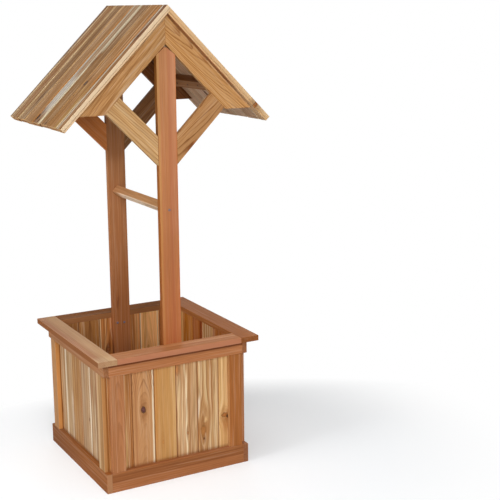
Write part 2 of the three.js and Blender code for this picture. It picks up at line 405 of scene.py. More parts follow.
# Seed of the noise in the first board of each group, and the step to the next one.
woodSeeds = {
    "frontWall": (3, 11.3), "leftWall": (103, 11.3), "rightWall": (203, 11.3), "backWall": (303, 11.3),
    "trim": (400, 9.1), "inside": (610, 8.7), "posts": (700, 31), "gables": (760, 13), "crossbar": (905, 0),
    "purlins": (930, 17), "leftRoof": (800, 19), "rightRoof": (1200, 19),
}


def seedOf(group, order=0):
    first, step = woodSeeds[group]
    return first + order * step


# What one board's wood is: its tone, its ring colour and whatever else departs from the defaults.
def plank(tone, late, **rest):
    return {"tone": tone, "late": late, **rest}


# Each knot is a ragged ellipse, with a longer ellipse round it that pushes the grain aside: the push falls
# from 0.9 of the distance to nothing. A field is (radius over the knot's own, glow, colour, firmness).
def knotFields(wood, knots, along, across, outward, seed):
    fields, bent = [], across
    share, deep, *grit = knotShape["cell"]
    for order, (knotAlong, knotAcross, halfLength, halfWidth, tint, *firmness) in enumerate(knots):
        stretch = wood.times(wood.less(along, knotAlong), 1 / halfLength)
        aside = wood.less(across, knotAcross)
        spread = wood.times(aside, 1 / halfWidth)
        cell = (halfLength * share, halfWidth * share, deep)
        ragged = wood.noise((along, across, outward), seed + order * seedStep["knot"], cell, *grit)
        distance = wood.lift(ragged, knotShape["ragged"], wood.radius(stretch, spread))
        reach = wood.radius(wood.times(stretch, knotShape["slim"]), spread)
        bent = wood.less(bent, wood.times(aside, wood.step(reach, *knotShape["push"])))
        glow = wood.step(wood.lift(ragged, knotShape["glowRagged"], reach), *knotShape["glow"])
        fields.append((distance, glow, tint, firmness[0] if firmness else 1.0))
    return fields, bent


# Growth rings are shells round a tilted, wandering log axis, cut by the board's faces. The distance from the
# axis is divided by the ring gap, and its fraction darkens up to the late side of the ring and falls back at
# the end, in some rings more than in others.
def ringDarkness(wood, look, place, middle, seed):
    words = ("slow", "quick", "patchy")
    slow, quick, patchy = [wood.noise(place, seed, *grainNoise[word]) for word in words]
    along, bent, outward = place
    pithAcross = wood.less(bent, middle[1] + look["pith"][0])
    pithOut = wood.less(outward, middle[2] + look["pith"][1])
    shell = wood.lift(along, look["taper"], wood.radius(pithAcross, pithOut))
    shell = wood.lift(slow, look["wave"], shell)
    shell = wood.lift(quick, look["ripple"], shell)
    ring = wood.times(shell, 1 / look["ringGap"])
    phase = wood.calc("FRACT", ring)
    fall = wood.step(phase, woodMix["ringFall"], 1.0, 1.0, 0.0)
    late = wood.times(wood.step(phase, *look["edge"]), fall)
    strong = wood.put("ShaderNodeTexWhiteNoise", noise_dimensions="1D")
    wood.feed(strong.inputs["W"], wood.plus(wood.calc("FLOOR", ring), seed * seedStep["ring"]))
    late = wood.times(late, wood.lift(strong.outputs["Value"], *woodMix["ringChance"]))
    return wood.times(late, wood.lift(patchy, woodMix["patches"], 1.0), clamp=True)


# Bands of sapwood or stain run along the board: full within half a width of their own line, gone over
# softness, and where from and to are given, ended softly there too.
def banded(wood, tint, bands, along, across, bent, seed):
    for order, (centre, half, soft, wander, bandTint, strength, *ends) in enumerate(bands):
        line = across
        if wander:
            bandSeed = seed + order * seedStep["band"]
            drift = wood.noise((along, 0.0, 0.0), bandSeed, *grainNoise["bandDrift"])
            line = wood.lift(drift, wander, bent)
        away = wood.calc("ABSOLUTE", wood.less(line, centre))
        share = wood.step(away, half - soft, half + soft, strength, 0.0)
        if ends:
            share = wood.times(share, wood.window(along, *ends, woodMix["bandEnd"]))
        tint = wood.blend(share, tint, colour(bandTint))
    return tint


# A knot's heart has faint turns, a sine of its radius, and darkens outwards; the bark line lies at its rim.
def knotted(wood, tint, look, fields):
    for distance, glow, knotTint, firm in fields:
        tint = wood.blend(wood.times(glow, firm), tint, colour(look["late"]))
        close, strength = knotShape["turns"]
        turns = wood.times(wood.calc("SINE", wood.times(distance, close)), strength)
        level = wood.plus(turns, wood.step(distance, *knotShape["heartLevel"]))
        heart = wood.scaled(colour(knotTint)[:3], level)
        tint = wood.blend(wood.step(distance, *knotShape["heart"], firm, 0.0), tint, heart)
        rise, top, fall, end = knotShape["bark"]
        bark = wood.times(wood.step(distance, rise, top), wood.step(distance, fall, end, 1.0, 0.0))
        factor, base = knotShape["barkFirm"]
        barkShare = wood.times(bark, max(0.0, factor * firm + base))
        tint = wood.blend(barkShare, tint, colour(look["barkTone"]))
    return tint


# The dark of the V seams, partly the joint's own and partly painted shade; painted shade beside the seats;
# and the tint of a sawn rim, which on the left stiles is a painted shadow line. Each is laid over the wood
# by its own share.
def shadedAndTinted(wood, tint, look, along, across, outward, groove, face):
    if look["rim"]:
        limit, depth, rimTint, strength = look["rim"]
        softAcross, softOut = woodMix["rimSoft"]
        beyond = wood.step(across, limit, limit + softAcross, strength, 0.0)
        below = wood.step(outward, depth - softOut, depth + softOut, 1.0, 0.0)
        tint = wood.blend(wood.times(beyond, below), tint, colour(rimTint))
    seatStart, seatFull = woodMix["seatShadeDepth"]
    outside = wood.step(outward, face + seatStart, face + seatFull)
    for seat, reach, strength in look["seatShade"]:
        away = wood.calc("ABSOLUTE", wood.less(along, seat))
        share = wood.times(wood.step(away, 0.0, reach, strength, 0.0), outside)
        tint = wood.blend(share, tint, colour(look["seamShadeTone"]))
    return wood.blend(wood.times(groove, look["seamShade"]), tint, colour(look["seamShadeTone"]))


# Cedar: the tone with its bands and rings, then streaks and fibres of thin noise, knots, cut ends, worn
# edges with a painted highlight, the rim tint, and the painted shade of seams and seats.
# middle is the middle of the board's section in the grain frame.
def cedar(name, look, middle=(0, 0, 0), seed=0.0):
    look = {**cedarDefaults, **look}
    late = colour(look["late"])
    wood = NodeBench(bpy.data.materials.new(name))
    along, across, outward = wood.parts(wood.attribute("grain", "Vector"))
    wornAndLit, groove, cutEnd = wood.attribute("wornAndLit"), wood.attribute("groove"), wood.attribute("cutEnd")

    fields, bent = knotFields(wood, look["knots"], along, across, outward, seed)
    stir = wood.noise((along, 0.0, 0.0), seed, *grainNoise["stir"])
    bent = wood.plus(bent, wood.times(stir, look["waver"]))
    place = (along, bent, outward)
    dark = ringDarkness(wood, look, place, middle, seed)

    bandSeed = seed + seedStep["bands"]
    tint = banded(wood, colour(look["tone"]), look["bands"], along, across, bent, bandSeed)
    figure, rest = look["figure"], woodMix["spanRest"]
    if look["span"]:
        inside = wood.window(along, *look["span"], woodMix["spanEnd"])
        figure = wood.lift(inside, (1 - rest) * figure, rest * figure)
    for field in fields:
        figure = wood.lift(field[1], woodMix["knotFigure"], figure)
    tint = wood.blend(wood.times(dark, figure, clamp=True), tint, late)

    words = ("hair", "broad", "fibre")
    hair, broad, fibre = [wood.noise(place, seed, *grainNoise[word]) for word in words]
    coarse = wood.noise(place, seed, look["streakSize"], *woodMix["streakNoise"])
    streak = wood.lift(hair, woodMix["hair"], coarse)
    reach, pale = woodMix["streakReach"], paler(look["tone"], woodMix["pale"])
    tint = wood.blend(wood.step(streak, 0.0, reach, 0.0, look["streak"]), tint, pale)
    tint = wood.blend(wood.step(streak, 0.0, -reach, 0.0, look["streak"]), tint, late)
    tint = wood.scaled(tint, wood.lift(fibre, look["fibre"], wood.lift(broad, look["broad"], 1.0)))
    tint = banded(wood, tint, look["overBands"], along, across, bent, seed + seedStep["overBands"])
    if look["drift"]:
        low, high, first, last = look["drift"]
        change = wood.blend(wood.step(along, low, high, kind="LINEAR"), (*first, 1.0), (*last, 1.0))
        tint = wood.made("ShaderNodeVectorMath", tint, change, operation="MULTIPLY")

    tint = knotted(wood, tint, look, fields)
    sawn = wood.noise((along, across, outward), seed, *grainNoise["sawn"])
    endLevel = wood.lift(sawn, woodMix["sawn"], 1.0 if look["endTone"] else woodMix["endLevel"])
    endTint = wood.scaled(colour(look["endTone"] or look["late"])[:3], endLevel)
    tint = wood.blend(wood.times(cutEnd, look["endShare"]), tint, endTint)
    # Eased edges are lighter: wear together with a painted highlight on the arrises.
    tint = wood.scaled(tint, wood.lift(wornAndLit, woodMix["wornAndLit"], 1.0))
    tint = shadedAndTinted(wood, tint, look, along, across, outward, groove, middle[2])

    shader = wood.put("ShaderNodeBsdfPrincipled")
    wood.feed(shader.inputs["Base Color"], tint)
    fibreDull, lateDull = woodMix["dull"]
    rough = wood.lift(fibre, fibreDull, wood.lift(dark, lateDull, look["sheen"]))
    wood.feed(shader.inputs["Roughness"], rough)
    shader.inputs["Specular IOR Level"].default_value = look["gloss"]
    bump = wood.put("ShaderNodeBump")
    bump.inputs["Strength"].default_value, bump.inputs["Distance"].default_value = look["bump"]
    fibreRise, lateRise = woodMix["relief"]
    wood.feed(bump.inputs["Height"], wood.lift(dark, lateRise, wood.times(fibre, fibreRise)))
    wood.feed(shader.inputs["Normal"], bump.outputs[0])
    return wood.surface(shader.outputs[0])


# A plain board that stands where its node stands: the grain follows its longest side, and outward is the
# shortest one, turned away from the well's middle unless it is upright.
def straightBoard(node, look, seed, ease=1.0):
    low, high = boxOf(node)
    size, middle = high - low, (high + low) / 2
    order = np.argsort(-size, kind="stable")
    along, across, outward = np.eye(3)[order]
    if outward @ middle < 0 and order[2] != 2:
        outward = -outward
    length, width, thickness = size[order]
    start = middle - along * length / 2
    return carriedBoard(
        node + "Board", rectangle(width, thickness), length, (start, across, outward, along),
        (middle, along, across, outward), cedar(node + "Cedar", look, seed=seed), [node], eases=ease)


# Boarded walls. Features in the looks use the wall's own x or y and z.
boarding = {
    "pitch": 76.2, "count": 6, "thickness": 19.0, "vDepth": 2.6, "vHalf": 2.8, "tongue": (6.5, 6.0),
    "seatShade": [(63.5, 11, 0.5), (380.7, 10, 0.4)],  # painted shade over the base trim and under the frieze
}
wallLow, wallHigh = boxOf("frontWall")
wallFace, wallSide = wallHigh[0], boxOf("rightWall")[1][1]
wallInner = wallFace - boarding["thickness"]

# Looks from left to right as each wall is seen from outside.
frontWallLooks = [
    plank("#b17945", "#71401f", pith=(-10, -60), streak=0.5, ringGap=4,
        bands=[(-176, 4, 2.5, 2.5, "#c9a26c", 0.75, -50, 200), (-160, 5, 3, 2, "#a05f29", 0.6)]),
    plank("#be8959", "#88542f", figure=0.8, ringGap=4, pith=(2, -20), taper=0.11, wave=3, edge=(0.5, 0.88),
        streak=0.3, waver=0.6, span=(300, 400), knots=[(248, -115, 12, 8, "#5b3835")],
        bands=[(-82, 2.6, 1.2, 0.8, "#ead8b7", 0.95), (-140, 5, 4, 2, "#b4784c", 0.5)]),
    plank("#c18e53", "#a26c3a", figure=0.25, pith=(-160, -40), ringGap=5, streak=0.3,
        streakSize=(420, 5, 5), bands=[(-70, 4, 2.5, 0.8, "#b57432", 0.7), (-9, 5, 3, 1, "#d1a871", 0.55)],
        knots=[(126, -50, 9, 4, "#aa6a32", 0.35)]),
    plank("#c19365", "#916036", ringGap=6, pith=(60, -60), wave=9, taper=0.03, streak=0.45, waver=2,
        streakSize=(300, 6, 6), knots=[(139, 39, 6.5, 3.4, "#9b5d32", 0.7),
        (360, 5, 22, 7, "#a8632f", 0.5)], bands=[(36, 2.6, 1.4, 1.2, "#ead8b2", 0.85, 40, 338),
        (29, 3, 1.6, 1.5, "#e6d2a7", 0.85, 338, 420), (7, 3.5, 2, 2, "#dfc69b", 0.6, 120, 335),
        (20, 2.2, 1.4, 2.5, "#e1caa1", 0.7, 60, 300), (47, 2.5, 1.8, 2.5, "#a16e40", 0.55, 100, 420),
        (64, 4, 3, 3, "#d5b487", 0.6)]),
    plank("#c69764", "#986539", ringGap=6, pith=(-60, -50), wave=9, taper=0.05, streak=0.7, waver=3,
        streakSize=(240, 7, 7), knots=[(134, 95, 24, 9, "#9c622e", 0.6), (107, 97, 4.5, 3, "#5d331a", 0.95),
        (172, 104, 12, 8, "#dcb884", 0.35)], bands=[(95, 11, 8, 4, "#b2733e", 0.6, 105, 165),
        (84.5, 2.6, 1.4, 1.5, "#fef3d8", 1, 186, 262), (83, 2.4, 1.6, 1.5, "#e4cb9d", 0.85, 262, 420),
        (104, 4, 2.5, 3, "#e1c392", 0.8, 215, 420), (126, 2.6, 1.6, 2.5, "#a06537", 0.7, 190, 420),
        (118, 3, 1.8, 2.5, "#ead2a5", 0.85, 40, 165), (140, 5, 3, 3, "#e1c190", 0.75)]),
    plank("#d2a46b", "#9d6632", figure=0.35, ringGap=5, pith=(20, -50), streak=0.4, streakSize=(300, 6, 6),
        knots=[(174, 174, 8, 11, "#96592c", 0.85), (168, 186, 6, 6, "#2e160a")],
        bands=[(166, 3, 2, 1.5, "#e6c691", 0.8, 190, 420), (181, 3, 2, 1.5, "#e2bf89", 0.7, 190, 420),
        (178, 8, 6, 3, "#ad6a33", 0.6, 118, 162), (196, 6, 3, 2, "#b98048", 0.6)]),
]
leftWallLooks = [
    plank("#b5895a", "#87592d", streak=0.5, bands=[(196, 8, 4, 2, "#b7763c", 0.8),
        (164, 8, 4, 3, "#bc9f80", 0.8), (181, 2.5, 1.5, 1.5, "#d6b589", 0.7)],
        knots=[(133, 189, 9, 6, "#6f4022")]),
    plank("#ae8c66", "#8a653e", streak=0.6, bands=[(134, 6.5, 1.8, 1.2, "#e3d4bb", 1),
        (120, 2.6, 1.5, 1, "#936d40", 0.7, 240, 420), (82, 6, 3, 1.5, "#c9b299", 0.85, -50, 230),
        (80, 3, 2, 1.5, "#bd9a6e", 0.7, 230, 420), (105, 4, 3, 3, "#a2794c", 0.6)]),
    plank("#a87948", "#7c522b", streak=0.45, bands=[(40, 12, 7, 3, "#936536", 0.6, 210, 420),
        (3, 2.2, 1.2, 0.8, "#905f35", 0.6), (60, 4, 3, 2, "#b28855", 0.6)]),
    plank("#ac8761", "#855e39", streak=0.5, bands=[(-6, 3.5, 2, 1, "#bc8453", 0.8),
        (-14, 2, 1.2, 1, "#8d6136", 0.55), (-30, 14, 8, 3, "#ab8a6b", 0.7), (-66, 6, 4, 2, "#b89a76", 0.7)],
        knots=[(183, -70, 6, 3, "#6f4a2e")]),
    plank("#af8961", "#835a38", streak=0.6, bands=[(-83, 6.5, 1.8, 1.2, "#e8dac0", 1),
        (-93, 2, 1.5, 1, "#966c3f", 0.6), (-103, 8, 5, 3, "#9e6841", 0.75, 268, 322),
        (-124, 4.5, 2.2, 2, "#d7c3a4", 0.85, -50, 262), (-124, 3.5, 2.2, 2, "#bda17e", 0.7, 262, 420),
        (-140, 5, 3, 1.5, "#9e6843", 0.75, 240, 420)]),
    plank("#b08a62", "#835a36", streak=0.5, bands=[(-157, 4, 1.8, 1, "#c6ad88", 0.9),
        (-172, 5, 3, 2, "#9a6c42", 0.6)]),
]
backWallLooks = [
    plank("#b0703a", "#7c431c", streak=0.35, bands=[(156, 5, 3, 1, "#a35a24", 0.7)]),
    # Boards 2 and 3 are toned lighter as painted light for the lit part of their inside face.
    plank("#f9b976", "#bb7f44", streak=0.4, ringGap=5, pith=(-10, -40), taper=0.04,
        bands=[(79, 2.6, 1.4, 0.8, "#ecd2a8", 0.95), (145, 2.8, 1.4, 0.8, "#e6c79a", 0.95),
        (95, 8, 5, 3, "#a8763f", 0.5)], knots=[(298, 107, 6, 5, "#a06c3c", 0.55)]),
    plank("#de9554", "#985a2a", streak=0.5, bands=[(48, 8, 5, 2, "#7e4d24", 0.7),
        (64, 3, 2, 1, "#c39a66", 0.6)]),
    plank("#b9743a", "#7a4017", streak=0.5, figure=0.5, ringGap=6, pith=(0, -30), taper=0.05,
        bands=[(-74, 2.6, 1.4, 0.8, "#e5c08f", 0.9), (-53, 3.5, 2, 1.5, "#d9a871", 0.8)],
        knots=[(312, -47, 9, 7, "#8a4c22", 0.7)]),
    plank("#a9713b", "#6d3c15", streak=0.5, figure=0.5, bands=[(-118, 14, 8, 3, "#96653a", 0.5)]),
    plank("#a26a38", "#6b3e1a", streak=0.4, knots=[(180, -190, 9, 6, "#6a3a20")]),
]
rightWallLooks = [
    plank("#ae7540", "#794721", streak=0.4, knots=[(260, -196, 10, 7, "#6b3d22")]),
    plank("#995620", "#5d300d", streak=0.3, figure=0.45, ringGap=5, bands=[(-82, 4, 3, 1, "#8c4b1a", 0.7)]),
    plank("#ad7d4c", "#86552e", streak=0.6, bands=[(-4, 3, 1.5, 1, "#c79b6e", 0.8),
        (-32, 5, 3, 2, "#a27449", 0.6), (-62, 5, 3, 2, "#c1986b", 0.6)]),
    plank("#a1581c", "#6c310a", streak=0.35, figure=0.45, bands=[(13, 8, 3.5, 1.2, "#7e3105", 0.9),
        (58, 10, 6, 3, "#a65a2a", 0.5)]),
    plank("#a7631d", "#783e0a", streak=0.35, ringGap=5, pith=(20, -40), taper=0.03,
        bands=[(86, 4, 3, 1.5, "#c07e3c", 0.5)]),
    plank("#b98650", "#815026", streak=0.5, bands=[(160, 6, 4, 2, "#c79860", 0.6)],
        knots=[(330, 200, 8, 6, "#72401f")]),
]


# Six matched boards side by side, one pitch wide each, but for the outer two, which end at the corners.
# right is the direction of the wall's own coordinate seen from outside.
def boardedWall(wall, right, outward, half, looks):
    right, outward = np.array(right, float), np.array(outward, float)
    worldAxis = np.abs(right)
    flip = right @ worldAxis
    count, thickness = boarding["count"], boarding["thickness"]
    seams = [-half] + [(order - count / 2) * boarding["pitch"] for order in range(1, count)] + [half]
    for order, (first, last, look) in enumerate(zip(seams, seams[1:], looks)):
        section, eases, dark = matchedSection(last - first, boarding, order > 0, order < count - 1)
        start = right * first + outward * wallInner + np.array([0, 0, wallLow[2]])
        middle = (0, flip * (first + last) / 2, wallFace - thickness / 2)
        look = {"seatShade": boarding["seatShade"], **look}
        material = cedar(f"{wall}Cedar{order + 1}", look, middle, seedOf(wall, order))
        carriedBoard(
            f"{wall}Board{order + 1}", section, wallHigh[2] - wallLow[2], (start, right, outward, (0, 0, 1)),
            ((0, 0, 0), (0, 0, 1), worldAxis, outward), material, [wall], eases=eases,
            endEase=0.4, shade=dark)


boardedWall("frontWall", (1, 0, 0), (0, -1, 0), wallFace, frontWallLooks)
boardedWall("leftWall", (0, -1, 0), (-1, 0, 0), wallSide, leftWallLooks)
boardedWall("rightWall", (0, 1, 0), (1, 0, 0), wallSide, rightWallLooks)
boardedWall("backWall", (-1, 0, 0), (0, 1, 0), wallFace, backWallLooks)
print("walls boarded")


# Trim of the box.
trimLooks = {
    "frontBaseTrim": plank("#a3663c", "#703f24", figure=0.35, ringGap=5, pith=(60, -40), taper=0.02,
        bands=[(17, 16, 4, 2, "#91582f", 0.85), (2.5, 1.8, 1.4, 1.5, "#7c4522", 0.5),
        (20, 1.6, 1.2, 2.5, "#7a4422", 0.45)]),
    "leftBaseTrim": plank("#8b5326", "#653b1a", drift=(-150, 200, (1.1, 1.06, 1.02), (0.86, 0.84, 0.9)),
        endShare=0.85, endTone="#ac7b55", figure=0.45, ringGap=4.5, pith=(40, -50), taper=0.03),
    "rightBaseTrim": plank("#a46a45", "#6f4229", pith=(20, -30), taper=0.03),
    "backBaseTrim": plank("#a86f48", "#744429", pith=(-40, -40), taper=0.02),
    # The dark band at the top of each frieze is a painted shadow cast by the cap rail's overhang.
    "frontFrieze": plank("#b67649", "#824d2a", figure=0.3, pith=(40, -60), taper=0.01,
        bands=[(12.6, 5.6, 2.2, 0, "#642e12", 0.85)]),
    "leftFrieze": plank("#a16f47", "#734327", figure=0.35, pith=(40, -60),
        bands=[(12.5, 3.4, 1.8, 0, "#663c20", 0.6)]),
    "rightFrieze": plank("#ac7048", "#77492c", figure=0.35, pith=(-30, -60),
        bands=[(14.6, 3.6, 1.8, 0, "#703519", 0.6)]),
    "backFrieze": plank("#b07650", "#77492c", figure=0.35, pith=(30, -30), taper=0.03,
        bands=[(14.6, 3.6, 1.8, 0, "#703519", 0.6)]),
    "frontCapRail": plank("#a96d40", "#804a27", figure=0.3, ringGap=4, pith=(60, -60), streak=0.4,
        overBands=[(-32.3, 1, 0.4, 0, "#af7252", 0.95)]),
    "leftCapRail": plank("#ae835d", "#845937", figure=0.35, ringGap=5, pith=(-80, -40), taper=0.02,
        bands=[(-22, 10, 5, 3, "#a57050", 0.8), (12, 12, 6, 5, "#b79269", 0.6),
        (0, 60, 1, 0, "#c8aa84", 0.55, -400, -238)], overBands=[(-32.3, 1, 0.4, 0, "#824c23", 0.95)]),
    "rightCapRail": plank("#9c5e2e", "#713e1c", ringGap=4, pith=(50, -50), taper=0.02),
    # The back cap rail is toned darker than the other rails, partly as painted shade under the roof.
    "backCapRail": plank("#824f28", "#5c3416", pith=(-50, -50), taper=0.02, sheen=1,
        overBands=[(-32.3, 1, 0.4, 0, "#96633c", 0.95)]),
    "frontStileA": plank("#ac7147", "#804d2a", figure=0.35, ringGap=3.4, pith=(6, -30), taper=0.04),
    # The dark overband by its left arris is a painted shadow line; the pale one is the tone of its side
    # face.
    "frontStileB": plank("#a46330", "#6f3d1b", figure=0.35, ringGap=5, pith=(-60, -40), taper=0.02,
        overBands=[(-21.2, 0.8, 0.4, 0, "#7d451f", 0.7), (-22.8, 0.7, 0.25, 0, "#c49260", 0.95)]),
    "rightStileA": plank("#ab7048", "#754528", pith=(30, -50)),
    "rightStileB": plank("#a86a42", "#754528", pith=(-30, -30), taper=0.03),
    "backStileA": plank("#a56a44", "#754528", pith=(0, -40), taper=0.05),
    "backStileB": plank("#b07850", "#754528", pith=(50, -30)),
    # The rim on the left stiles is a painted shadow line where the side face meets the wall boards.
    "leftStileA": plank("#af7f52", "#87562c", figure=0.25, pith=(-60, -50), ringGap=6,
        overBands=[(-22.8, 0.9, 0.3, 0, "#c88a4c", 0.9)], rim=(-21.9, -4.5, "#7c4519", 0.8)),
    "leftStileB": plank("#ab8154", "#845e38", figure=0.3, pith=(-40, -40), ringGap=5,
        bands=[(15, 8, 2.5, 0.8, "#c9a67c", 0.9), (-14, 9, 3, 1, "#966c3e", 0.8)],
        overBands=[(-22.8, 0.9, 0.3, 0, "#b27d49", 0.9)], rim=(-21.9, -2.5, "#8a5424", 0.85)),
}
for order, (node, look) in enumerate(trimLooks.items()):
    straightBoard(node, look, seedOf("trim", order), ease=1.1)
print("trim laid")

# Floor timber inside. Each piece is cut a step further across the log than the one before, and round again.
insideWood = {"late": "#6d4a2c", "step": 17, "round": 50, "depth": -30, "taper": 0.03}
insideTones = {
    "leftFloorCleat": "#9d7750", "rightFloorCleat": "#a47c52", "floorSlat1": "#96704c",
    "floorSlat2": "#a9835a", "floorSlat3": "#98724a", "floorSlat4": "#a07a54", "floorSlat5": "#937049",
}
for order, (node, tone) in enumerate(insideTones.items()):
    aside = order * insideWood["step"] % insideWood["round"] - insideWood["round"] / 2
    look = plank(tone, insideWood["late"], pith=(aside, insideWood["depth"]), taper=insideWood["taper"])
    straightBoard(node, look, seedOf("inside", order))
print("floor laid")


# Posts, crossbar and gable frames. The roof's ridge and eaves set their heights.
roof = {
    "ridge": 1492.0, "half": 347.5,
    "slope": 45,  # degrees; the frames' outlines count on a step out being a step down
    "thickness": 17.5, "vDepth": 2.4, "vHalf": 2.6, "tongue": (6.0, 5.5), "outerGap": 0.25,
    "widths": [38, 80, 72, 58, 76, 66, 66, 18],
    "short": [0.0, 0.8, 1.8, 0.4, 0.1, 1.4, 0.2, 0.8],  # how much each board falls short of the eave line
    "tailInset": 55,  # from the eave to the rafter's tail
    "braceInset": 5,  # from the tail's inner corner to where the brace meets the rafter
}
sine, cosine = math.sin(math.radians(roof["slope"])), math.cos(math.radians(roof["slope"]))
undersideApex = roof["ridge"] - roof["thickness"] / cosine
rafterTop = undersideApex - stock["fit"] / cosine
rafterFoot = rafterTop - stock["width"] / cosine
tailOuter = roof["half"] - roof["tailInset"]
tailHeight = rafterTop - tailOuter
tailInner = rafterFoot - tailHeight

postLooks = {
    "frontPost": plank("#b17043", "#8f512d", drift=(460, 1290, (0.95, 0.83, 0.76), (1.02, 1.18, 1.38)),
        figure=0.25, ringGap=5, pith=(-70, -40), taper=0.004, wave=3, streak=0.08,
        bands=[(-27, 4, 2, 0.8, "#bc864a", 0.55), (9, 5, 3, 1.5, "#a75f3f", 0.5),
        (22, 9, 5, 2, "#b97654", 0.4, 800, 1500), (30.5, 2.2, 1.5, 0.3, "#b5622c", 0.6),
        (-32.3, 1, 0.4, 0, "#884c12", 1)]),
    # The back post's dark overband from 985 mm up is painted shadow under the roof.
    "backPost": plank("#9e643a", "#754223", drift=(460, 950, (0.97, 0.9, 0.86), (1.1, 1.22, 1.38)),
        figure=0.3, ringGap=5, pith=(40, -50), taper=0.01, streak=0.15,
        knots=[(492, -13, 9, 5, "#7f4c2b", 0.4)], overBands=[(0, 40, 1, 0, "#5b3115", 0.32, 985, 1500)]),
}


# Boards of a gable lie flat in it: outline in x and z, carried over the node's own depth. The grain follows
# the given direction in x and z, and is measured from the board's middle, but from the ground on a post.
def gableBoard(name, outline, look, slot, direction, seed):
    low, high = boxOf(name)
    along = np.array([direction[0], 0, direction[1]], float)
    outward = np.array([0, -1.0 if name.startswith("front") else 1.0, 0])
    across = np.array([along[2], 0, -along[0]])
    origin = (low + high) / 2
    if slot == "posts":
        origin[2] = 0
    return carriedBoard(
        name + "Board", outline, high[1] - low[1], ((0, low[1], 0), (1, 0, 0), (0, 0, 1), (0, 1, 0)),
        (origin, along, across, outward), cedar(name + "Cedar", look, seed=seed), [name],
        eases=0.9, endEase=0.8)


postTip = {"half": 4.0, "below": 9.0}  # blunt point of a post, and how far it lies under the frames' apex
postLow = boxOf("frontPost")[0]
postHalf = stock["width"] / 2
frameApex = rafterFoot - stock["fit"] / cosine
tipHeight, shoulderHeight = frameApex - postTip["below"], frameApex - postHalf
postOutline = [
    (-postHalf, postLow[2]), (postHalf, postLow[2]), (postHalf, shoulderHeight),
    (postTip["half"], tipHeight), (-postTip["half"], tipHeight), (-postHalf, shoulderHeight)]
for order, (node, look) in enumerate(postLooks.items()):
    gableBoard(node, postOutline, look, "posts", (0, 1), seedOf("posts", order))

mitre = stock["fit"] / 2
rafterOutline = [
    (mitre, rafterFoot - mitre), (tailInner, tailHeight),
    (tailOuter, tailHeight), (mitre, rafterTop - mitre)]
heel = postHalf + stock["fit"]
lower = tailInner - roof["braceInset"]
upper = lower - stock["width"] * cosine
braceOutline = [
    (heel, frameApex - lower - (lower - heel)), (lower, frameApex - lower), (upper, frameApex - upper),
    (heel, frameApex - upper - (upper - heel))]

gableLooks = {
    "frontRightRafter": plank("#bf8e57", "#8b5224", figure=1, ringGap=5.6, pith=(2, -16), taper=0.085,
        wave=8, ripple=1.2, edge=(0.35, 0.9), streak=0.3),
    "frontLeftRafter": plank("#b58552", "#804d25", figure=0.65, ringGap=8.5, pith=(12, -18), taper=-0.09,
        wave=10, ripple=1.2, edge=(0.55, 0.9), streak=0.5, streakSize=(180, 12, 12)),
    "frontRightBrace": plank("#ac7d4e", "#774520", figure=1, ringGap=5.4, pith=(6, -14), taper=0.07, wave=7,
        edge=(0.55, 0.9), knots=[(-48, 12, 13, 5, "#8a5229", 0.5)]),
    "frontLeftBrace": plank("#bb9260", "#8e5c30", figure=0.9, ringGap=5.6, pith=(-22, -26), taper=0.03,
        wave=6, edge=(0.55, 0.9), streak=0.3, bands=[(-26, 5, 3, 1.5, "#c8ad87", 0.8),
        (24, 4, 3, 1.5, "#c4a57a", 0.6)]),
    # The back right rafter and brace are toned darker as painted shade under the roof.
    "backRightRafter": plank("#76441d", "#4a2a0e", figure=0.5, ringGap=6, pith=(10, -30), taper=0.05),
    "backLeftRafter": plank("#b08050", "#7c4d26", figure=0.5, ringGap=5, pith=(-10, -20), taper=0.05),
    "backRightBrace": plank("#7d5330", "#4d2e15", figure=0.5, ringGap=6, pith=(0, -20), taper=0.06),
    "backLeftBrace": plank("#ba713a", "#864920", figure=0.3, ringGap=5, pith=(40, -40), taper=0.01,
        streak=0.15),
}
for order, (node, look) in enumerate(gableLooks.items()):
    side = 1 if "Right" in node else -1
    isRafter = node.endswith("Rafter")
    outline = [(side * x, z) for x, z in (rafterOutline if isRafter else braceOutline)]
    direction = (side * cosine, -sine if isRafter else sine)
    gableBoard(node, outline, look, "gable_frames", direction, seedOf("gables", order))

# The pale band on the crossbar's lower face is painted light from the floor, weaker at the front end and
# left off at the back end by the post, where it lies in shade.
barLook = plank("#b88758", "#80512a", drift=(-60, 190, (1, 1, 1), (1.02, 0.93, 0.92)), figure=0.35,
    ringGap=4, pith=(-20, -30), taper=0.01, bands=[(14.5, 3, 1, 0, "#e5d1b6", 0.9, -60, 150),
    (14.5, 3, 1, 0, "#e5d1b6", 0.5, -250, -60)])
barSide = 27
barLow, barHigh = boxOf("crossbar")
barMiddle = (barLow + barHigh) / 2
barFirst, barSecond = np.array([-cosine, 0, -sine]), np.array([-cosine, 0, sine])
carriedBoard(
    "crossbarBoard", rectangle(barSide, barSide), barHigh[1] - barLow[1],
    ((0, barLow[1], barMiddle[2]), barFirst, barSecond, (0, 1, 0)),
    (barMiddle, (0, 1, 0), barFirst, barSecond), cedar("crossbarCedar", barLook, seed=seedOf("crossbar")),
    ["crossbar"], eases=1.6, endEase=0.6)


# Directions on the slope that a node or a word names: down it, and out of it.
def slopeAxes(name):
    side = 1 if name.startswith("right") else -1
    return np.array([side * cosine, 0, -sine]), np.array([side * sine, 0, cosine])


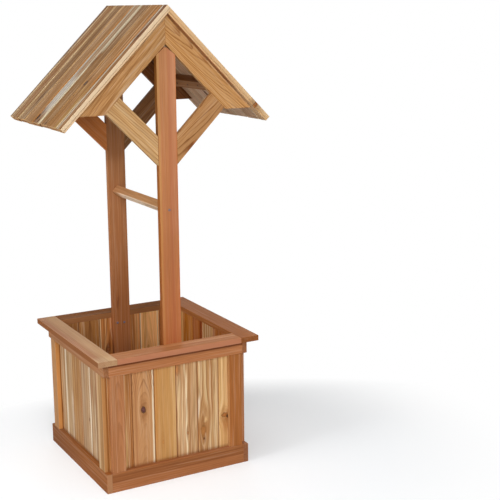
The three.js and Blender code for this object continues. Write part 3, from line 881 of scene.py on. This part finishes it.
purlinLooks = {
    "rightPurlin": plank("#99673c", "#6c4020", pith=(10, -30), taper=0.02),
    "leftPurlin": plank("#a07c56", "#74512f", pith=(-10, -30), taper=0.02),
}
purlin = {"width": 38.0, "thickness": 24.0, "offset": 285.0}  # offset: from the ridge, down the slope
for order, (node, look) in enumerate(purlinLooks.items()):
    low, high = boxOf(node)
    down, outward = slopeAxes(node)
    width, thickness, length = purlin["width"], purlin["thickness"], (high - low)[1]
    start = np.array([0, low[1], undersideApex]) + down * purlin["offset"] - outward * stock["fit"]
    corners = [(0, 0), (width, 0), (width, thickness), (0, thickness)]
    middle = start + down * width / 2 - outward * thickness / 2 + np.array([0, length / 2, 0])
    carriedBoard(
        node + "Board", corners, length, (start, down, -outward, (0, 1, 0)),
        (middle, (0, 1, 0), down, -outward), cedar(node + "Cedar", look, seed=seedOf("purlins", order)),
        [node], eases=1.0)
print("posts, crossbar and gables standing")


screws = {
    "radius": 3.9, "crown": 0.9, "recess": 1.1, "slotHalf": 0.7, "slotReach": 2.4, "slotSoft": (0.3, 0.4),
    "proud": 0.05, "skirt": 1.4,  # how far the rim stands out of the wood, and how far its skirt goes in
    "rings": 14, "sides": 48, "hub": 0.06, "tuck": 0.8,  # first ring and foot of the skirt, over the radius
    # The purlin screws' metal is the same zinc, darkened brown as painted shade under the roof deck.
    "zinc": "#5d6c7f", "zincInShade": "#4c3a2e", "metallic": 0.85,
    "noise": (4.0, [0.0015] * 3, 3, 0.6),  # seed, cell in metres, detail, roughness
    "dulled": (0.15, 1.0), "rough": (0.08, 0.38),  # lightness and roughness on that noise: factor and base
    # on the posts: (x, z); in the purlins: (y, distance down the slope)
    "frontPost": ((-12, 408), (13, 406), (-14, 235), (11, 237)),
    "backPost": ((-15.6, 408), (9.7, 407), (-13, 236), (12, 234)),
    "crossbar": ((0.5, 873.0), (-0.5, 877.0)),
    "purlin": ((-196, 302), (-150, 306), (-88, 301), (-33, 302.5), (44, 305), (118, 303), (178, 300)),
}


# Metal of a screw, dulled by fine noise.
def screwMetal(name, tone):
    metal = NodeBench(bpy.data.materials.new(name))
    shader = metal.put("ShaderNodeBsdfPrincipled")
    spot = metal.parts(metal.put("ShaderNodeTexCoord").outputs["Object"])
    dull = metal.noise(spot, *screws["noise"])
    level = metal.lift(dull, *screws["dulled"])
    metal.feed(shader.inputs["Base Color"], metal.scaled(colour(tone)[:3], level))
    metal.feed(shader.inputs["Roughness"], metal.lift(dull, *screws["rough"]))
    shader.inputs["Metallic"].default_value = screws["metallic"]
    return metal.surface(shader.outputs[0])


# Screw head: height over the wood is a crown falling with the square of the radius, less a cross recess
# where the nearer of the two axes is within half a slot. Rings run out from the middle, then under the rim.
def screwHeads(name, places, outward, up, tone=screws["zinc"]):
    outward, up = np.array(outward, float), np.array(up, float)
    aside = np.cross(up, outward)
    share = np.concatenate([np.linspace(screws["hub"], 1, screws["rings"]), [1, screws["tuck"]]])[:, None]
    rings, sides = len(share), screws["sides"]
    angle = np.linspace(0, 2 * np.pi, sides, endpoint=False)
    radius = share * screws["radius"]
    x, y = radius * np.cos(angle), radius * np.sin(angle)
    sideSoft, endSoft = screws["slotSoft"]
    cross = np.clip((screws["slotHalf"] - np.minimum(np.abs(x), np.abs(y))) / sideSoft, 0, 1)
    cross = cross * np.clip((screws["slotReach"] - radius) / endSoft, 0, 1)
    above = np.arange(rings)[:, None] < screws["rings"]
    height = screws["crown"] * (1 - share ** 2) - screws["recess"] * cross
    height = height + np.where(above, screws["proud"], -screws["skirt"])
    index, quads = ringFaces(rings, sides)
    quads = np.roll(quads[:, ::-1], 1, 1)  # turned over, because these rings grow outwards
    points, faces = [], []
    head = x[..., None] * aside + y[..., None] * up + height[..., None] * outward
    for order, place in enumerate(places):
        points.append((np.asarray(place, float) + head).reshape(-1, 3))
        step = order * rings * sides
        faces += (quads + step).tolist() + [(index[0] + step).tolist(), (index[-1, ::-1] + step).tolist()]
    mesh = bpy.data.meshes.new(name)
    mesh.from_pydata((np.concatenate(points) / 1000).tolist(), [], faces)
    mesh.update()
    mesh.polygons.foreach_set("use_smooth", np.ones(len(mesh.polygons), bool))
    mesh.materials.append(screwMetal(name + "Zinc", tone))
    addPiece(name, mesh)


frontFace, backFace = boxOf("frontPost"), boxOf("backPost")
for name, rows, depth, sign in (
    ("backPostScrews", screws["backPost"], backFace[0][1], -1),
    ("frontPostScrews", screws["frontPost"], frontFace[1][1], 1),
    ("crossbarFrontScrew", screws["crossbar"][:1], frontFace[0][1], -1),
    ("crossbarBackScrew", screws["crossbar"][1:], backFace[1][1], 1),
):
    screwHeads(name, [(x, depth, z) for x, z in rows], (0, sign, 0), (0, 0, 1))
for node in purlinLooks:
    down, outward = slopeAxes(node)
    face = np.array([0, 0, undersideApex]) - outward * (stock["fit"] + purlin["thickness"])
    places = [face + np.array([0, y, 0]) + down * distance for y, distance in screws["purlin"]]
    screwHeads(node + "Screws", places, -outward, down, screws["zincInShade"])
print("screws driven")


# Roof boards, from the front gable to the back one. Across is the world's y.
roofHalfDepth = sum(roof["widths"]) / 2
# The pale tone of the roof boards' cut ends is painted light on ends that face down, as lit from the floor.
roofWood = {"streak": 0.5, "endTone": "#c9a06c", "endShare": 0.9}
leftRoofLooks = [
    plank("#7f5634", "#492a13", pith=(60, -60), knots=[(128, -218, 6, 3.8, "#3b2519")],
        bands=[(-226, 11, 5, 2, "#5a3416", 0.8, -60, 140), (-227, 10, 4, 2, "#7d5427", 0.75, 160, 540),
        (-208, 4.6, 1.6, 1, "#b0a692", 1, 128, 540), (-211, 3.6, 1.4, 0.8, "#c8bda8", 1, -60, 128)],
        overBands=[(-237.8, 1.5, 0.4, 0, "#d6bc9a", 0.9)], rim=(-236.9, -11.5, "#c39563", 0.75)),
    plank("#895f32", "#5b3816", figure=0.45, ringGap=6, pith=(-10, -30), taper=0.04, wave=7,
        bands=[(-190, 7, 3.5, 2, "#a3651c", 0.9, 20, 330), (-194, 4, 2.5, 1.5, "#b29e7c", 0.8, 380, 540),
        (-184, 8, 5, 3, "#997437", 0.6, 330, 540), (-149, 9, 5, 2, "#a88f5c", 0.7, 330, 352),
        (-150, 6, 4, 2, "#844a14", 0.6, 290, 312), (-122, 3.2, 1.5, 0.8, "#a28a64", 0.85, -60, 165),
        (-121, 3, 1.6, 1, "#957040", 0.7, 165, 540)], knots=[(320, -134, 10, 8, "#4a382b")]),
    plank("#7f592f", "#523114", ringGap=6, pith=(10, -35), taper=0.03, wave=7,
        bands=[(-117, 2.6, 1.3, 0.8, "#a07a4a", 0.8, 60, 540), (-88, 22, 8, 3, "#69441e", 0.65, -60, 225),
        (-54, 7.5, 2, 1.5, "#a89b80", 1, -60, 200), (-50, 4, 1.5, 1.2, "#b3a487", 0.95, 200, 540)],
        knots=[(484, -94, 6, 4, "#42270b"), (214, -58, 14, 7, "#7a4d2a", 0.8)]),
    plank("#8c6d50", "#644426", figure=0.3, ringGap=7, pith=(20, -40), wave=6, streak=0.7,
        bands=[(-44, 3.4, 1.5, 1, "#a8a089", 1, -60, 200), (-41, 4.5, 1.6, 1, "#b6ad95", 0.95, 200, 430),
        (-41, 4.5, 1.6, 0.8, "#cbc09f", 1, 430, 540), (1, 7, 3, 2, "#a39984", 0.9, -60, 300),
        (3, 10, 5, 3, "#aca89d", 0.9, 215, 448), (-19, 16, 6, 3, "#b0aca3", 0.9, 305, 445),
        (-34, 7, 4, 2, "#9d8d70", 0.3, -60, 195)], knots=[(468, 4, 12, 9, "#2d1c0f"),
        (480, -22, 7, 5, "#3e2713")]),
    plank("#866039", "#59391d", figure=0.35, ringGap=6, pith=(-20, -40), taper=0.02,
        bands=[(14, 2.5, 1.2, 0.6, "#9b6326", 0.85), (26, 6, 4, 3, "#906738", 0.5),
        (84, 4.4, 1.8, 0.8, "#a98961", 0.95)]),
    plank("#7b5934", "#513218", figure=0.35, ringGap=6, pith=(20, -50), taper=0.02,
        bands=[(91, 3, 1.6, 0.6, "#a78459", 0.85), (112, 13, 7, 3, "#694522", 0.55),
        (149.5, 3.6, 1.4, 0.5, "#b39771", 0.95)], knots=[(400, 115, 8, 4, "#472a11")]),
    plank("#7d5630", "#523217", figure=0.35, ringGap=6, pith=(0, -50), taper=0.02,
        bands=[(156.5, 3.4, 1.4, 0.6, "#a0865e", 0.95), (164, 3, 2, 0.8, "#6f4b26", 0.6),
        (212.5, 4.6, 1.5, 0.5, "#b59d78", 1, -60, 215), (215, 4.2, 1.5, 0.4, "#a58c67", 0.9, 215, 540)]),
    # The dark band along this board's back edge is painted shade.
    plank("#6e4e34", "#4a3020", figure=0.3, pith=(0, -50), seamShade=0.5,
        bands=[(223, 4.2, 1.4, 0.5, "#aa916d", 0.95, 240, 540),
        (232, 4.6, 1.4, 0.4, "#54402f", 0.8, -60, 330)]),
]
rightWood = {  # ranges that each board's wood is drawn from
    "seed": 50, "late": "#7a5638", "figure": (0.3, 0.5), "ringGap": (4, 7), "aside": (-40, 40),
    "depth": (30, 60), "taper": (0.01, 0.05), "wave": (4, 8), "band": (0.4, 0.9),
    "knotShare": (0.3, 0.7), "knotPlace": (80, 420), "knotHalf": (8, 15), "knotted": (2, 4, 6),
}
rightTones = ["#bc956c", "#bf9877", "#c6a386", "#b9916e", "#c69f7f", "#c29a76", "#bc9475", "#be9671"]


# Wood of the right slope, drawn by chance for each board. The front board also has its verge and a knot.
def rightRoofLook(order):
    chance = np.random.default_rng(rightWood["seed"] + order)

    def draw(word):
        return float(chance.uniform(*rightWood[word]))

    left = sum(roof["widths"][:order]) - roofHalfDepth
    look = plank(
        rightTones[order], rightWood["late"], figure=draw("figure"), ringGap=draw("ringGap"),
        pith=(draw("aside"), -draw("depth")), taper=draw("taper"), wave=draw("wave"),
        bands=[(left + 5, 4, 2.5, 1.5, "#c9b594", draw("band"))], knots=[])
    if order == 0:
        look["bands"].append((-226, 10, 3, 0, "#9a5a2a", 0.8, -60, 330))
        look["overBands"] = [(-237.6, 1.5, 0.5, 0, "#cea97b", 0.7)]
        look["rim"] = (-236.9, -10.5, "#c08a50", 0.6)
        look["knots"].append((427, -237.4, 6.5, 3.2, "#7c4c28"))
    if order in rightWood["knotted"]:
        spot = left + roof["widths"][order] * draw("knotShare")
        look["knots"].append((draw("knotPlace"), spot, draw("knotHalf"), 7, "#6a452c"))
    return look


rightRoofLooks = [rightRoofLook(order) for order in range(len(rightTones))]
ridgeLine = np.array([0, 0, roof["ridge"]])
# The left slope laps over the right one at the ridge.
for word, ridgeGap, looks in (
    ("left", 0.0, leftRoofLooks), ("right", roof["thickness"] + stock["fit"], rightRoofLooks)):
    down, outward = slopeAxes(word)
    front = -roofHalfDepth
    for order, (width, look) in enumerate(zip(roof["widths"], looks)):
        section, eases, dark = matchedSection(
            width, roof, order > 0, order < len(looks) - 1, roof["outerGap"], scored=order == 0)
        start = ridgeLine + np.array([0, front, 0]) + down * ridgeGap - outward * roof["thickness"]
        length = roof["half"] / cosine - ridgeGap - roof["short"][order]
        node = f"{word}RoofBoard{order + 1}"
        middle = (0, front + width / 2, -roof["thickness"] / 2)
        material = cedar(node + "Cedar", {**roofWood, **look}, middle, seedOf(word + "Roof", order))
        carriedBoard(
            node + "Plank", section, length, (start, (0, 1, 0), outward, down),
            (ridgeLine, down, (0, 1, 0), outward), material, [node], eases=eases, shade=dark)
        front += width
print("roof boarded")


# Camera. Its angles are in radians, its focal length in pixels of the square frame.
photoView = {
    "place": (-1.394865, -3.185165, 1.477679), "yaw": -0.514788, "pitch": -0.220316, "roll": -0.006802,
    "focal": 1076.26, "frame": 500, "sensor": 36, "far": 100,
}


# An object's matrix from its three axes and its place.
def standing(first, second, third, place):
    columns = (first, second, third, place)
    return Matrix([[column[row] for column in columns] for row in range(3)] + [[0, 0, 0, 1]])


yaw, pitch, roll = photoView["yaw"], photoView["pitch"], photoView["roll"]
ahead = np.array([-math.sin(yaw) * math.cos(pitch), math.cos(yaw) * math.cos(pitch), math.sin(pitch)])
level = np.array([math.cos(yaw), math.sin(yaw), 0])
above = np.cross(level, ahead)
rightWay = math.cos(roll) * level + math.sin(roll) * above
upWay = -math.sin(roll) * level + math.cos(roll) * above
cameraData = bpy.data.cameras.new("photoCamera")
cameraData.sensor_width = photoView["sensor"]
cameraData.lens = photoView["focal"] / photoView["frame"] * photoView["sensor"]
cameraData.clip_end = photoView["far"]
camera = bpy.data.objects.new("photoCamera", cameraData)
camera.matrix_world = standing(rightWay, upWay, -ahead, photoView["place"])
scene.collection.objects.link(camera)
scene.camera = camera

# Light and floor, in metres.
studio = {
    "ambient": 0.30,
    # name: (place, size, power, aim)
    "lamps": {
        "softboxFront": ((-1.3, -3.9, 2.2), 2.0, 104.0, (0, 0, 0.7)),
        "softboxTop": ((-0.9, -0.9, 4.2), 1.8, 40.0, (0, 0, 0.5)),
        "softboxRight": ((3.4, -2.6, 2.0), 2.0, 10.0, (0, 0, 0.6)),
        "softboxLeft": ((-3.7, -0.5, 2.2), 1.8, 76.0, (0, 0, 0.5)),
        "softboxBack": ((1.6, 3.8, 2.4), 2.0, 26.0, (0, 0, 0.6)),
    },
    "floorTone": "#dcdee0", "floorLift": 0.27,
    "floorRadius": 9.0, "floorRings": 24, "floorSides": 64, "floorGrowth": 1.6,
    "fadeMiddle": (0.15, -0.1, 0.0), "fade": (0.5, 1.15),  # the floor turns white between these distances
    "behind": (0.42, 0.85), "behindSlant": 0.3,  # and between these depths, measured as y and a share of x
}
for name, (place, size, power, aim) in studio["lamps"].items():
    lamp = bpy.data.lights.new(name, "AREA")
    lamp.shape = "DISK"
    lamp.size = size
    lamp.energy = power
    holder = bpy.data.objects.new(name, lamp)
    towards = np.array(place) - np.array(aim)
    towards = towards / np.linalg.norm(towards)
    side = np.cross((0, 0, 1), towards)
    side = side / np.linalg.norm(side)
    holder.matrix_world = standing(side, np.cross(towards, side), towards, place)
    scene.collection.objects.link(holder)

# The air is white to the camera and in reflections, and dimmer as light on the object.
air = NodeBench(bpy.data.worlds.new("studioAir"))
scene.world = air.owner
rays = air.put("ShaderNodeLightPath").outputs
seen = air.calc("MAXIMUM", rays["Is Camera Ray"], rays["Is Glossy Ray"])
seen = air.calc("MAXIMUM", seen, rays["Is Transmission Ray"])
glow = air.put("ShaderNodeBackground")
glow.inputs["Color"].default_value = (1, 1, 1, 1)
air.feed(glow.inputs["Strength"], air.step(seen, 0.0, 1.0, studio["ambient"], 1.0, kind="LINEAR"))
air.surface(glow.outputs[0], "ShaderNodeOutputWorld")


# Floor: rings of points on widening circles, radius growing as a power of the ring number.
def floorDisc():
    rings, sides = studio["floorRings"], studio["floorSides"]
    radius = studio["floorRadius"] * np.linspace(0.0, 1.0, rings + 1)[1:, None] ** studio["floorGrowth"]
    angle = np.linspace(0, 2 * np.pi, sides, endpoint=False)
    points = np.stack([radius * np.cos(angle), radius * np.sin(angle), np.zeros((rings, sides))], -1)
    index, quads = ringFaces(rings, sides)
    faces = quads[:, ::-1].tolist()
    mesh = bpy.data.meshes.new("studioFloor")
    mesh.from_pydata(points.reshape(-1, 3).tolist(), [], faces + [index[0].tolist()])
    disc = bpy.data.objects.new("studioFloor", mesh)
    scene.collection.objects.link(disc)
    return disc


# Floor paint: a matt tone with a little light of its own near the well, and white farther off and behind,
# both for the camera alone.
def floorPaint():
    paint = NodeBench(bpy.data.materials.new("studioFloorPaint"))
    spot = paint.put("ShaderNodeTexCoord").outputs["Object"]
    toCamera = paint.put("ShaderNodeLightPath").outputs["Is Camera Ray"]
    offset = paint.made("ShaderNodeVectorMath", spot, studio["fadeMiddle"], operation="SUBTRACT")
    distance = paint.put("ShaderNodeVectorMath", operation="LENGTH")
    paint.feed(distance.inputs[0], offset)
    x, y = paint.parts(spot)[:2]
    behind = paint.lift(x, studio["behindSlant"], y)
    faded = paint.step(distance.outputs["Value"], *studio["fade"])
    fade = paint.plus(faded, paint.step(behind, *studio["behind"]), clamp=True)
    matt = paint.put("ShaderNodeBsdfDiffuse")
    matt.inputs["Color"].default_value = colour(studio["floorTone"])
    shine = paint.put("ShaderNodeEmission")
    paint.feed(shine.inputs["Strength"], paint.times(toCamera, studio["floorLift"]))
    nearFloor = paint.made("ShaderNodeAddShader", matt.outputs[0], shine.outputs[0])
    white = paint.put("ShaderNodeEmission").outputs[0]
    return paint.surface(paint.made("ShaderNodeMixShader", paint.times(fade, toCamera), nearFloor, white))


floor = floorDisc()
floor.data.materials.append(floorPaint())

scene.view_settings.view_transform = "Standard"
print("studio lit")

bpy.context.view_layer.update()
